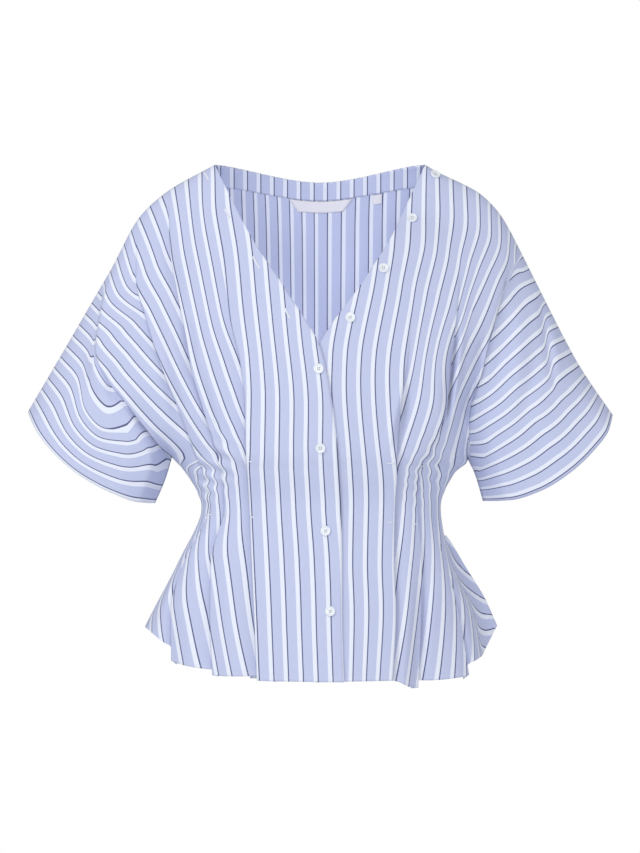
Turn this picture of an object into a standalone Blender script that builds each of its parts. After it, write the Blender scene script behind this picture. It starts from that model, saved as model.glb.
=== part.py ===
"""A women's v-neck blouse with kimono sleeves and a fluted peplum, hollow, as it hangs on a wearer.

Run with: blender --background --python part.py
Metres in the finished meshes, millimetres in the tables, +Z up, the front looking along -Y.
The origin lies between the two points where the shoulder seams meet the neck.
"""
import math

import bmesh
import bpy
import numpy as np
from mathutils import Vector
from mathutils.bvhtree import BVHTree

MM = 0.001
CLOTH = 1.0            # wall that stands for the cloth with its turned hems
GAP = 0.3              # left between pieces that touch
STRIPE = 16.3          # one repeat of the cloth's stripe, so a fold's missing stripes give its hidden cloth
UNDERLAP = 4.5         # how far the left front lies behind the right front at the button line
FOLD_STEP = 4.2        # depth between the layers of a full fold
FLUTE = 6.0            # how far the peplum swells between its folds at the hem
SLEEVE_END = 6         # the section at the underarm, the last that runs on into the sleeve
HEM = 11               # the section at the hem

# Every panel is a net of sections. Section 0 is the shoulder seam, 6 ends at the underarm, 8 is the waist
# and 11 the hem. Each section crosses the lines named here, and a table has one row a section.
LINES = ("inner", "pleat", "tuck", "fold", "edge", "kink", "cuff")

RIGHT_X = [
    # inner   pleat    tuck    fold    edge    kink    cuff
    (-115.5, -132.0, -165.0, -198.0, -228.8, -285.0, -321.2),
    (-96.8, -117.7, -162.8, -200.0, -238.7, -265.1, -312.4),
    (-73.7, -104.5, -152.9, -193.0, -245.3, -258.5, -294.8),
    (-37.4, -96.8, -146.3, -181.5, -228.8, -238.7, -266.2),
    (2.2, -90.2, -137.5, -170.5, -211.2, -213.4, -228.8),
    (13.0, -79.2, -122.1, -156.2, -187.0, -187.0, -200.2),
    (19.4, -77.8, -107.8, -133.1, -162.8, -170.5, -181.5),
    (20.9, -77.2, -105.6, -126.5, -147.4, 0, 0),
    (23.1, -75.0, -103.4, -121.0, -130.0, 0, 0),
    (24.2, -72.3, -117.7, -147.4, -154.6, 0, 0),
    (24.2, -69.5, -118.3, -161.7, -183.7, 0, 0),
    (26.4, -66.4, -115.7, -161.1, -192.5, 0, 0),
]
RIGHT_Z = [
    # inner   pleat    tuck    fold    edge    kink    cuff
    (0.0, -8.8, -27.5, -57.2, -113.3, -210.1, -271.7),
    (-38.5, -55.5, -91.3, -121.0, -154.0, -234.3, -291.5),
    (-82.5, -103.4, -137.5, -165.0, -198.0, -265.1, -314.6),
    (-137.5, -165.0, -183.7, -196.0, -220.0, -288.2, -339.9),
    (-205.7, -216.7, -223.3, -231.0, -245.3, -293.7, -360.8),
    (-258.5, -260.7, -265.1, -271.7, -283.8, -319.0, -370.7),
    (-313.5, -315.7, -316.8, -319.0, -321.2, -346.5, -371.8),
    (-337.7, -337.7, -337.7, -337.7, -338.8, 0, 0),
    (-377.3, -377.3, -377.3, -377.3, -377.3, 0, 0),
    (-434.5, -434.5, -434.5, -434.5, -434.5, 0, 0),
    (-491.7, -491.7, -491.7, -489.5, -490.6, 0, 0),
    (-567.6, -566.0, -560.6, -545.6, -508.2, 0, 0),
]
# Half of the cloth that each line folds under itself.
RIGHT_HIDDEN = [
    # pleat  tuck  fold  edge
    (0, 0, 0, 0),
    (0, 0, 0, 0),
    (0, 2, 2, 4),
    (0, 5, 5, 12),
    (1, 3, 5, 14),
    (8, 2, 3, 3),
    (22, 4, 0, 0),
    (25, 6, 4, 0),
    (25, 7, 6, 0),
    (25, 4, 4, 0),
    (25, 8, 8, 0),
    (25, 8, 9, 0),
]
LEFT_X = [
    # inner   pleat    tuck    fold    edge    kink    cuff
    (115.5, 128.7, 176.0, 199.1, 210.1, 286.0, 321.8),
    (93.5, 119.9, 163.0, 187.0, 202.4, 275.0, 316.8),
    (77.0, 114.4, 152.0, 178.0, 194.7, 261.8, 299.2),
    (48.4, 99.0, 141.0, 166.0, 183.7, 242.0, 272.8),
    (-4.4, 93.5, 138.6, 158.0, 173.8, 214.5, 242.0),
    (-13.2, 86.9, 125.0, 148.0, 165.0, 187.0, 209.0),
    (-11.0, 82.5, 115.0, 137.0, 162.3, 170.5, 179.3),
    (-11.0, 82.5, 106.0, 125.0, 147.4, 0, 0),
    (-9.0, 80.0, 106.0, 122.0, 132.5, 0, 0),
    (-9.0, 79.0, 110.0, 136.0, 143.0, 0, 0),
    (-7.0, 81.0, 109.0, 150.0, 168.0, 0, 0),
    (-5.0, 77.5, 105.5, 162.0, 178.2, 0, 0),
]
LEFT_Z = [
    # inner   pleat    tuck    fold    edge    kink    cuff
    (0.0, -7.7, -31.9, -56.1, -74.8, -222.2, -275.0),
    (-47.3, -55.0, -72.0, -86.0, -99.0, -242.0, -292.6),
    (-81.4, -88.0, -105.0, -120.0, -132.0, -264.0, -315.7),
    (-126.5, -140.0, -155.0, -167.0, -176.0, -280.5, -339.9),
    (-206.8, -212.0, -216.0, -220.0, -223.3, -291.5, -358.6),
    (-258.5, -260.0, -265.0, -270.0, -275.0, -302.5, -368.5),
    (-313.5, -314.0, -317.0, -320.0, -322.7, -340.0, -369.6),
    (-337.7, -337.7, -337.7, -337.7, -339.5, 0, 0),
    (-377.3, -377.3, -377.3, -377.3, -377.3, 0, 0),
    (-434.5, -434.5, -434.5, -434.5, -434.5, 0, 0),
    (-491.7, -491.7, -491.7, -489.5, -490.6, 0, 0),
    (-567.6, -566.0, -574.0, -561.0, -540.0, 0, 0),
]
LEFT_HIDDEN = [
    # pleat  tuck  fold  edge
    (0, 0, 0, 0),
    (0, 2, 0, 5),
    (0, 4, 2, 12),
    (0, 6, 4, 16),
    (1, 9, 7, 15),
    (8, 6, 5, 3),
    (20, 4, 2, 0),
    (24, 6, 4, 0),
    (25, 7, 6, 0),
    (25, 5, 4, 0),
    (25, 8, 8, 0),
    (25, 9, 9, 0),
]
FRONT_DEPTH = [
    # inner pleat tuck fold edge kink cuff
    (0, 0, 0, 0, 0, 0, 0),
    (34, 36, 36, 34, 32, 34, 36),
    (60, 58, 54, 50, 46, 46, 46),
    (86, 80, 70, 62, 54, 52, 50),
    (104, 96, 82, 70, 56, 52, 48),
    (107, 99, 84, 68, 44, 44, 36),
    (104, 96, 78, 56, 0, 0, 0),
    (97, 88, 70, 50, 0, 0, 0),
    (86, 76, 60, 42, 0, 0, 0),
    (93, 84, 66, 44, 0, 0, 0),
    (104, 94, 76, 50, 0, 0, 0),
    (113, 104, 84, 56, 0, 0, 0),
]
# The back hangs on the same seams, with its own first two lines: the centre and the line under the neck point.
BACK_SHAPE = [
    # centre z, neck x, neck z
    (-18.7, 115.5, 0.0),
    (-58.0, 110.0, -47.0),
    (-102.0, 101.0, -94.0),
    (-155.0, 93.0, -150.0),
    (-214.0, 86.0, -212.0),
    (-263.0, 81.0, -262.0),
    (-316.0, 78.0, -315.0),
    (-338.0, 75.0, -338.0),
    (-377.3, 70.0, -377.3),
    (-434.5, 70.0, -434.5),
    (-492.0, 72.0, -491.7),
    (-568.0, 75.0, -566.0),
]
BACK_DEPTH = [
    # centre neck tuck fold edge kink cuff
    (58, 0, 0, 0, 0, 0, 0),
    (74, 52, 40, 36, 34, 34, 36),
    (86, 74, 60, 52, 48, 46, 46),
    (93, 86, 74, 64, 56, 52, 50),
    (95, 90, 80, 70, 58, 52, 48),
    (93, 88, 78, 66, 46, 44, 36),
    (90, 84, 72, 54, 0, 0, 0),
    (86, 80, 66, 46, 0, 0, 0),
    (78, 70, 56, 38, 0, 0, 0),
    (86, 78, 62, 38, 0, 0, 0),
    (98, 88, 70, 40, 0, 0, 0),
    (112, 100, 78, 42, 0, 0, 0),
]
BACK_HIDDEN = [
    # neck  tuck  fold  edge
    (0, 0, 0, 0),
    (0, 0, 0, 4),
    (0, 3, 2, 8),
    (0, 4, 3, 8),
    (0, 3, 5, 6),
    (2, 3, 3, 2),
    (8, 3, 2, 0),
    (11, 6, 4, 0),
    (12, 7, 5, 0),
    (11, 5, 3, 0),
    (9, 6, 4, 0),
    (8, 7, 5, 0),
]
# Where the back's side flutes stand by the seams below the waist. The left one shows past the front.
FLUTES = [
    # section, right x, right z, left x, left z
    (9, -146.0, -434.5, 151.0, -432.0),
    (10, -166.0, -490.0, 179.0, -480.0),
    (11, -170.0, -540.0, 193.0, -511.0),
]

BODY_COLUMNS = (6, 3, 3, 3)      # steps from line to line between the inner edge and the edge line
SLEEVE_COLUMNS = (5, 4)          # steps from the edge line to the kink and on to the cuff
CHEST_ROWS = 18                  # steps from the shoulder to the underarm
SKIRT_ROWS = 15                  # steps from the underarm to the hem
FOLD_TURN = (0, 0.05, 0.06, 0.07, 0.12, 0)    # share of the way to the next line that each turn of a fold takes
CROOK = 7.0                      # how far the wall's inner corner draws back in the crook of a fold
SEAM_MARGIN = 5.0                # nearer to the seams' plane than this, corners stay plain

FACING = 0.8                     # the neck facing's single turned layer
FACING_END = 0.5                 # the section at the neck facing's lower edge
SLACK = 0.1                      # spare room where a flat piece lies on a curved one
TAPE = 0.6                       # woven label tape
STRIP_COLUMNS = 9                # points across each piece that lies on the inside of the back
# The label's and the tab's sections, each with its first and last x. The label's ends are folded under.
LABEL = ((0.53, 0.68, 0.84), ((-34.5, 36.2), (-29.8, 31.0), (-25.0, 25.8)))
SIZE_TAB = ((0.53, 0.65, 0.77), ((58.7, 68.2), (58.7, 68.2), (58.7, 68.2)))

BUTTON_RADIUS = 5.5
BUTTON_HEIGHT = 2.2
BUTTON_SIDES = 14
# The button's outline from its back to its sunk middle, in shares of its radius and height.
BUTTON_PROFILE = ((0.82, 0.0), (1.0, 0.45), (0.94, 0.95), (0.74, 1.0), (0.6, 0.72))
# The buttons by their place in the photo's frame: x, z and the front that carries each.
BUTTONS = [
    # front, x, z
    ("front_right", -1.6, -224.4),
    ("front_right", 0.4, -311.3),
    ("front_right", 5.9, -402.2),
    ("front_right", 11.0, -490.1),
    ("front_left", 33.0, -168.3),
    ("front_left", 69.3, -114.4),
    ("front_left", 101.2, -59.4),
    ("front_left", 126.5, -11.0),
]


def clear_scene():
    for item in list(bpy.data.objects):
        bpy.data.objects.remove(item, do_unlink=True)


def soft(keys, at, level=False):
    """Goes through one key a step without overshooting; at may lie between two keys.

    level starts it off level, as where a curve crosses the middle of the garment.
    """
    keys = np.asarray(keys, float)
    at = np.asarray(at, float)
    first = np.clip(np.floor(at).astype(int), 0, len(keys) - 2)
    part = (at - first).reshape(at.shape + (1,) * (keys.ndim - 1))
    rise = np.diff(keys, axis=0)
    slope = np.zeros_like(keys)
    both = rise[1:] * rise[:-1]
    total = rise[1:] + rise[:-1]
    slope[1:-1] = np.where(both > 0, 2 * both / np.where(total == 0, 1, total), 0)
    slope[0] = 0 if level else rise[0]
    slope[-1] = rise[-1]
    past = part * part * (3 - 2 * part)
    out = keys[first] * (1 - past) + keys[first + 1] * past
    out += slope[first] * part * (1 - part) ** 2
    return out - slope[first + 1] * part * part * (1 - part)


def sections():
    """The sections of the net, a little closer together at the shoulder seam, where the cloth turns over."""
    chest = SLEEVE_END * (np.arange(CHEST_ROWS) / CHEST_ROWS) ** 1.25
    skirt = SLEEVE_END + (HEM - SLEEVE_END) * np.arange(SKIRT_ROWS + 1) / SKIRT_ROWS
    return np.concatenate([chest, skirt])


def columns():
    """Each column as (line number, share of the way to the next line, stage of a fold from 0 to 2)."""
    found = []
    for line, steps in enumerate(BODY_COLUMNS + SLEEVE_COLUMNS):
        turn = FOLD_TURN[line]
        found.append((line, 0.0, 0))
        if turn:
            found.append((line, turn, 1))
            found.append((line, 2 * turn, 2))
        start = 2 * turn
        found += [(line, start + (1 - start) * step / steps, 2) for step in range(1, steps)]
    found.append((len(LINES) - 1, 0.0, 0))
    return found


def net(x, z, depth, hidden, front, at):
    """The middle surface of one half panel as an array of sections by columns, in millimetres."""
    x, z, hidden = (soft(table, at) for table in (x, z, hidden))
    squares = soft(np.asarray(depth, float) ** 2, at)
    grid = []
    for line, share, stage in columns():
        body = line < 4
        keys = slice(0, 5) if body else slice(4, 7)
        position = np.array(line + share - (0 if body else 4))
        ahead = position + 0.01 if position < 1.99 or body else position - 0.01
        px = soft(x[:, keys].T, position)
        pz = soft(z[:, keys].T, position, level=body and not front)
        py = np.sqrt(np.clip(soft(squares[:, keys].T, position, level=body), 0, None))
        if 0 < line < 5:
            under = np.clip(hidden[:, line - 1], 0, None)
            step = FOLD_STEP * under / (under + 3.0)
            along = np.stack([soft(x[:, keys].T, ahead) - px, soft(z[:, keys].T, ahead) - pz])
            along /= np.maximum(np.hypot(along[0], along[1]), 1e-9)
            if stage == 1:
                px = px - under * along[0]
                pz = pz - under * along[1]
                py = py - step
            if stage == 2:
                py = py - 2 * step * ((1 - share) / (1 - 2 * FOLD_TURN[line])) ** 2
        if line in (1, 2, 3):
            py = py + np.clip((at - 8.0) / 3.0, 0, 1) * FLUTE * math.sin(math.pi * share)
        grid.append(np.stack([px, -py if front else py, pz], axis=-1))
    return np.stack(grid, axis=1)


def cells_of(count, first_body, last_body):
    """The net's quads: the body's columns run to the hem, the sleeves' stop at the underarm."""
    cells = []
    for row in range(CHEST_ROWS + SKIRT_ROWS):
        sleeved = row < CHEST_ROWS
        cells += [(row, k) for k in range(count - 1) if sleeved or first_body <= k < last_body]
    return cells


def corner_normals(grid, cells):
    """At each point of a net, the unit mean of the normals around it and how far they lean from it."""
    normals = np.zeros_like(grid)
    squares = []
    for row, column in cells:
        corners = ((row, column), (row + 1, column), (row + 1, column + 1), (row, column + 1))
        a, b, c, d = (grid[corner] for corner in corners)
        across = np.cross(c - a, d - b)
        across /= max(np.linalg.norm(across), 1e-9)
        squares.append((corners, across))
        for corner in corners:
            normals[corner] += across
    normals /= np.maximum(np.linalg.norm(normals, axis=2, keepdims=True), 1e-9)
    lean = np.ones(grid.shape[:2])
    for corners, across in squares:
        for corner in corners:
            lean[corner] = min(lean[corner], abs(normals[corner].dot(across)))
    return normals, lean


def hollow_side(grid, normals):
    """+1 where the net closes on its normal's side, as in the crook of a fold, and -1 on the other."""
    middle = np.zeros_like(grid)
    middle[:, 1:-1] = (grid[:, 2:] + grid[:, :-2]) / 2 - grid[:, 1:-1]
    return np.sign((middle * normals).sum(axis=2))


def wall(name, grid, cells, thickness, material, front=None):
    """Closes a net into a thin wall. A front stays before the seams' plane y = 0 and a back behind it."""
    rows, count = grid.shape[:2]
    normals, lean = corner_normals(grid, cells)
    crook = np.where(abs(grid[..., 1]) > SEAM_MARGIN, hollow_side(grid, normals), 0)
    layers = []
    for side in (1, -1):
        reach = np.where(crook == side, np.minimum(1 / np.maximum(lean, 0.01), CROOK), 1.0)
        layers.append(grid + side * normals * (thickness / 2 * reach)[..., None])
    if front is not None:
        for layer in layers:
            if front:
                layer[..., 1] = np.minimum(layer[..., 1], -GAP / 2)
            else:
                layer[..., 1] = np.maximum(layer[..., 1], GAP / 2)
    points = np.concatenate([layer.reshape(-1, 3) for layer in layers]) * MM
    half = rows * count
    faces = []
    edges = set()
    for row, column in cells:
        start = row * count + column
        ring = [start, start + count, start + count + 1, start + 1]
        a, b, c, d = ring
        faces += [(a, b, c), (a, c, d), (half + c, half + b, half + a), (half + d, half + c, half + a)]
        edges.update(zip(ring, ring[1:] + ring[:1]))
    for a, b in sorted(edges):
        if (b, a) not in edges:
            faces.append([b, a, half + a, half + b])
    used = sorted({corner for face in faces for corner in face})
    place = {old: new for new, old in enumerate(used)}
    mesh = bpy.data.meshes.new(name)
    mesh.from_pydata(points[used].tolist(), [], [[place[corner] for corner in face] for face in faces])
    mesh.update()
    if sum(face.center.dot(face.normal) * face.area for face in mesh.polygons) < 0:
        mesh.flip_normals()
    mesh.materials.append(material)
    item = bpy.data.objects.new(name, mesh)
    bpy.context.collection.objects.link(item)
    return item


def plain_material(name, colour, roughness):
    material = bpy.data.materials.new(name)
    material.use_nodes = True
    shader = material.node_tree.nodes["Principled BSDF"]
    shader.inputs["Base Color"].default_value = (*colour, 1.0)
    shader.inputs["Roughness"].default_value = roughness
    shader.inputs["Metallic"].default_value = 0.0
    return material


def edge_column():
    """How many columns a half panel has from its inner edge to the edge line."""
    return [line for line, share, stage in columns()].index(4)


def front(name, x, z, hidden, sink, material):
    """One front with its sleeve, cut in one. sink lays its inner edge behind the other front's."""
    grid = net(x, z, FRONT_DEPTH, hidden, True, sections())
    lines = np.array([min(line + share, 1.0) for line, share, stage in columns()])
    grid[..., 1] += sink * (1 - lines) ** 1.5
    last = edge_column()
    cells = cells_of(grid.shape[1], 0, last)
    return wall(name, grid, cells, CLOTH, material, front=True)


def back_tables(x, z):
    """The back's lines on the seams of one front: its own centre and neck lines, and its side flute."""
    x, z = np.array(x, float), np.array(z, float)
    side = np.sign(x[0, 4])
    for section, (centre_z, neck_x, neck_z) in enumerate(BACK_SHAPE):
        x[section, :2] = 0.0, side * neck_x
        z[section, :2] = centre_z, neck_z
    for section, right_x, right_z, left_x, left_z in FLUTES:
        x[section, 3], z[section, 3] = (right_x, right_z) if side < 0 else (left_x, left_z)
    return x, z


def back_net(at):
    """The whole back, from the right cuff over the centre to the left cuff."""
    halves = []
    for x, z in ((RIGHT_X, RIGHT_Z), (LEFT_X, LEFT_Z)):
        x, z = back_tables(x, z)
        halves.append(net(x, z, BACK_DEPTH, BACK_HIDDEN, False, at))
    return np.concatenate([halves[0][:, ::-1], halves[1][:, 1:]], axis=1)


def back(material):
    grid = back_net(sections())
    centre = grid.shape[1] // 2
    last = edge_column()
    cells = cells_of(grid.shape[1], centre - last, centre + last)
    return wall("back", grid, cells, CLOTH, material, front=False)


def inside_back(name, at, spans, thickness, material):
    """A strip that lies on the inside of the back, made from the back's own points.

    at gives the strip's sections and spans each section's first and last x, or None for the facing,
    which runs along the neckline as far as the back's own columns before the neck points.
    """
    own = sections()
    grid = back_net(own)
    centre = grid.shape[1] // 2
    last = edge_column()
    normals, _ = corner_normals(grid, cells_of(grid.shape[1], centre - last, centre + last))
    normals *= np.sign(-normals[..., 1:2])
    grid = grid + normals * (CLOTH / 2 + GAP + SLACK + thickness / 2)
    reach = BODY_COLUMNS[0] - 1
    grid = grid[:, centre - reach:centre + reach + 1]
    above = np.clip(np.searchsorted(own, at, side="right") - 1, 0, len(own) - 2)
    part = ((np.asarray(at) - own[above]) / (own[above + 1] - own[above])).reshape(-1, 1, 1)
    points = grid[above] * (1 - part) + grid[above + 1] * part
    if spans is not None:
        strip = points
        points = np.empty((len(at), STRIP_COLUMNS, 3))
        for row, (first, last) in enumerate(spans):
            wanted = np.linspace(first, last, STRIP_COLUMNS)
            for axis in range(3):
                points[row, :, axis] = np.interp(wanted, strip[row, :, 0], strip[row, :, axis])
    cells = [(row, k) for row in range(len(points) - 1) for k in range(points.shape[1] - 1)]
    return wall(name, points, cells, thickness, material)


def button(name, x, z, panel, material):
    """A turned button with a raised rim, laid on the cloth just clear of it."""
    depsgraph = bpy.context.evaluated_depsgraph_get()
    ground = BVHTree.FromObject(panel, depsgraph)
    ahead = Vector((0, 1, 0))
    seat, facing, _, _ = ground.ray_cast(Vector((x * MM, -1, z * MM)), ahead)
    turn = facing.to_track_quat("Z", "Y")
    lift = 0.0
    for step in range(12):
        angle = 2 * math.pi * step / 12
        spot = turn @ Vector((math.cos(angle), math.sin(angle), 0)) * BUTTON_RADIUS * MM
        hit = ground.ray_cast(seat + spot + facing * 0.01, -facing)[0]
        if hit is not None:
            lift = max(lift, (hit - seat).dot(facing))
    mesh = bpy.data.meshes.new(name)
    shape = bmesh.new()
    rings = [(radius * BUTTON_RADIUS, height * BUTTON_HEIGHT) for radius, height in BUTTON_PROFILE]
    loops = []
    for radius, height in rings:
        loops.append([shape.verts.new((radius * math.cos(a), radius * math.sin(a), height))
                      for a in (2 * math.pi * k / BUTTON_SIDES for k in range(BUTTON_SIDES))])
    for below, above in zip(loops, loops[1:]):
        for k in range(BUTTON_SIDES):
            after = (k + 1) % BUTTON_SIDES
            shape.faces.new((below[k], below[after], above[after], above[k]))
    shape.faces.new(reversed(loops[0]))
    shape.faces.new(loops[-1])
    bmesh.ops.scale(shape, vec=(MM, MM, MM), verts=shape.verts)
    shape.to_mesh(mesh)
    shape.free()
    mesh.materials.append(material)
    item = bpy.data.objects.new(name, mesh)
    bpy.context.collection.objects.link(item)
    item.rotation_mode = "QUATERNION"
    item.rotation_quaternion = turn
    item.location = seat + facing * (lift + GAP * MM)
    return item


def main():
    clear_scene()
    cloth = plain_material("striped_poplin", (0.55, 0.60, 0.82), 0.85)
    tape = plain_material("label_tape", (0.86, 0.86, 0.88), 0.7)
    shell = plain_material("button_resin", (0.90, 0.93, 0.92), 0.3)
    panels = {
        "front_right": front("front_right", RIGHT_X, RIGHT_Z, RIGHT_HIDDEN, 0.0, cloth),
        "front_left": front("front_left", LEFT_X, LEFT_Z, LEFT_HIDDEN, UNDERLAP, cloth),
    }
    back(cloth)
    facing_sections = [at for at in sections() if at < FACING_END] + [FACING_END]
    inside_back("back_neck_facing", facing_sections, None, FACING, cloth)
    inside_back("neck_label", *LABEL, TAPE, tape)
    inside_back("size_tab", *SIZE_TAB, TAPE, tape)
    bpy.context.view_layer.update()
    for number, (panel, x, z) in enumerate(BUTTONS, start=1):
        button(f"button_{number}", x, z, panels[panel], shell)


main()
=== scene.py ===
"""The looks of a women's v-neck blouse with kimono sleeves and a fluted peplum, hollow as worn.

Metres in the finished meshes, millimetres in the tables, +Z up, the front looking along -Y.
The origin lies between the two points where the shoulder seams meet the neck.
"""
import math

import bmesh
import bpy
import numpy as np
from mathutils import Matrix, Vector
from mathutils.bvhtree import BVHTree


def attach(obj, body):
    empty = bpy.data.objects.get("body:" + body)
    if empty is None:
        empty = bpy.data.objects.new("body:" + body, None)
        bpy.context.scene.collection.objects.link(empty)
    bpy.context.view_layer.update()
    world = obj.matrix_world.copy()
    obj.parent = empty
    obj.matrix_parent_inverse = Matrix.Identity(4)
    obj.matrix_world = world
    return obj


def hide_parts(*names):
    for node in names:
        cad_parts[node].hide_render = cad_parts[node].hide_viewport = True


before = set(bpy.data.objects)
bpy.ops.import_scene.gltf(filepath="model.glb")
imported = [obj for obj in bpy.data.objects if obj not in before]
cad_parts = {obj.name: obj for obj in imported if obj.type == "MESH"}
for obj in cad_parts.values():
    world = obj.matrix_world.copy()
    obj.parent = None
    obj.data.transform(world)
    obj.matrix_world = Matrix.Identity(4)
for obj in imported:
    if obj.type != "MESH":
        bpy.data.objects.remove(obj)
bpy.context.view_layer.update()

# The right front with its sleeve, cut in one from yarn-dyed cotton poplin.
# It is folded into one deep pleat and smaller tucks at the waist, and carries the buttonholes.

# Each panel is a net of sections: 0 is the shoulder seam, 6 ends at the underarm, 8 is the waist and 11
# the hem. A table has one row a section, with its places on the lines named here.
LINES = ("inner", "pleat", "tuck", "fold", "edge", "kink", "cuff")
MM = 0.001
STRIPE = 16.3          # one repeat of the stripe
POPLIN = 0.5           # the cloth's wall
FOLD_STEP = 4.2        # depth between the layers of a full fold
FLUTE = 6.0            # how far the peplum swells between its folds at the hem
SLEEVE_END = 6
WAIST = 8
HEM = 11
SEAM_GAP = 0.15        # how far each panel keeps from the seams' plane

RIGHT_X = [
    # inner pleat tuck fold edge kink cuff
    (-115.5, -132, -165, -198, -228.8, -285, -321.2),
    (-96.8, -117.7, -162.8, -200, -238.7, -265.1, -312.4),
    (-73.7, -104.5, -155, -189.2, -245.3, -258.5, -294.8),
    (-37.4, -96.8, -145.8, -179.9, -233.2, -238.7, -266.2),
    (2.2, -84.7, -139.2, -167.8, -215.6, -213.4, -228.8),
    (13, -79.8, -127.1, -151.8, -188.1, -187, -200.2),
    (19.4, -78.9, -111.1, -134.2, -162.8, -170.5, -181.5),
    (20.9, -77.2, -105.6, -126.5, -147.4, 0, 0),
    (23.1, -75, -103.4, -121, -130, 0, 0),
    (24.2, -72.3, -117.7, -147.4, -154.6, 0, 0),
    (24.2, -69.5, -118.3, -161.7, -183.7, 0, 0),
    (26.4, -66.4, -115.7, -161.1, -192.5, 0, 0),
]
RIGHT_Z = [
    # inner pleat tuck fold edge kink cuff
    (0, -8.8, -27.5, -57.2, -113.3, -210.1, -271.7),
    (-38.5, -55.5, -91.3, -121, -154, -234.3, -291.5),
    (-82.5, -103.4, -137.5, -165, -198, -265.1, -314.6),
    (-137.5, -165, -183.7, -196, -231, -288.2, -339.9),
    (-205.7, -216.7, -223.3, -231, -255.2, -293.7, -360.8),
    (-258.5, -260.7, -265.1, -271.7, -291.5, -319, -370.7),
    (-313.5, -315.7, -316.8, -319, -321.2, -346.5, -371.8),
    (-337.7, -337.7, -337.7, -337.7, -338.8, 0, 0),
    (-377.3, -377.3, -377.3, -377.3, -377.3, 0, 0),
    (-434.5, -434.5, -434.5, -434.5, -434.5, 0, 0),
    (-491.7, -491.7, -491.7, -489.5, -490.6, 0, 0),
    (-567.6, -566, -560.6, -545.6, -508.2, 0, 0),
]
# Half of the cloth that each line folds under itself.
RIGHT_HIDDEN = [
    # pleat tuck fold edge
    (0, 0, 0, 0),
    (0, 3, 2, 4),
    (1, 7, 7, 6),
    (3, 10, 10, 7),
    (7, 12, 12, 10),
    (13, 14, 13, 13),
    (22, 14, 10, 3),
    (25, 12, 5, 0),
    (25, 8, 6, 0),
    (25, 5, 4, 0),
    (25, 8, 8, 0),
    (25, 8, 9, 0),
]
# The stripe that lies on each line, counted from the centre front, before and after the line's fold.
RIGHT_STRIPES = [
    # inner pleat tuck fold edge kink cuff
    (6, 7.2, 9.4, 12, 15.8, 24, 29.3),
    (4.9, 6.3, 10, 13.7, 17.8, 24, 29.3),
    (3.9, 6, 10.1, 14.4, 20.5, 24, 29.3),
    (1.9, 5.9, 10.2, 14.75, 21.3, 24, 29.3),
    (-0.3, 5.55, 10.37, 15.05, 21.4, 24.3, 29.3),
    (-0.6, 5.33, 10.5, 15.45, 21.6, 26.5, 29.3),
    (-1, 5.2, 11, 16.3, 22, 27.7, 29.3),
    (-1, 5.05, 11.2, 17.3, 21, 0, 0),
    (-1, 5.05, 11.45, 17.1, 20.2, 0, 0),
    (-0.8, 5.05, 12.1, 19.5, 21.9, 0, 0),
    (-0.7, 5.05, 12.7, 20.2, 23.6, 0, 0),
    (-0.7, 5.05, 13.4, 20.85, 24.3, 0, 0),
]
RIGHT_PAST = [
    # pleat tuck fold edge
    (7.2, 9.4, 12, 15.8),
    (6.3, 10.6, 13.7, 18.5),
    (6, 11.5, 15.9, 21.5),
    (6.3, 12.3, 16.85, 21.7),
    (6.8, 13, 17.9, 23),
    (7.45, 13.65, 19.2, 25),
    (8.85, 14.8, 20.5, 27),
    (9.2, 15, 18.4, 21),
    (9.15, 15.5, 17.8, 20.2),
    (9.55, 16.8, 20, 21.9),
    (9.75, 17.75, 21.2, 23.6),
    (10.4, 18.4, 21.55, 24.3),
]
FRONT_DEPTH = [
    # inner pleat tuck fold edge kink cuff
    (0, 0, 0, 0, 0, 0, 0),
    (34, 36, 36, 34, 32, 34, 36),
    (60, 58, 54, 50, 46, 46, 46),
    (86, 80, 70, 62, 54, 52, 50),
    (104, 96, 82, 70, 56, 52, 48),
    (107, 99, 84, 68, 44, 44, 36),
    (104, 96, 78, 56, 0, 0, 0),
    (97, 88, 70, 50, 0, 0, 0),
    (86, 76, 60, 42, 0, 0, 0),
    (93, 84, 66, 44, 0, 0, 0),
    (104, 94, 76, 50, 0, 0, 0),
    (113, 104, 84, 56, 0, 0, 0),
]
# Soft troughs pressed into the cloth and the ridges beside them, by their two ends.
RIGHT_CREASES = [
    # x, z to x, z, width, depth, ridge on the left (-1) or right (1)
    (-174, -65, -149, -166, 7, 4.2, 1),
    (-149, -160, -136, -240, 6, 4.6, 1),
    (-138, -215, -112, -305, 6, 5, 1),
    (-188, -150, -150, -300, 7, 5.2, 1),
    (-246, -190, -222, -262, 8, 3, -1),
    (-268, -208, -236, -284, 9, 2.6, 1),
]

# How far the hem jumps up past each folded line.
RIGHT_HEM_STEPS = (5, 6, 15, 0)  # pleat tuck fold edge
HEM_STEP_START = 10.3            # the section where the jump begins
RIGHT_GATHERS = [
    # x, z, half width, half height, reach, wave
    (-108, -322, 15, 30, 1.9, 17),
    (-124, -352, 11, 24, 1.3, 14),
]

PANEL_FOLDS = (1, 2, 3, 4)       # the lines that fold under themselves
FLUTED = (1, 2, 3)               # the lines after which the peplum swells
BODY_LINES = 4                   # the lines before the edge; the sleeve's lines follow
FOLD_TURN = (0, 0.05, 0.06, 0.07, 0.12, 0)    # half the share of the way to the next line that a fold takes
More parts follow.
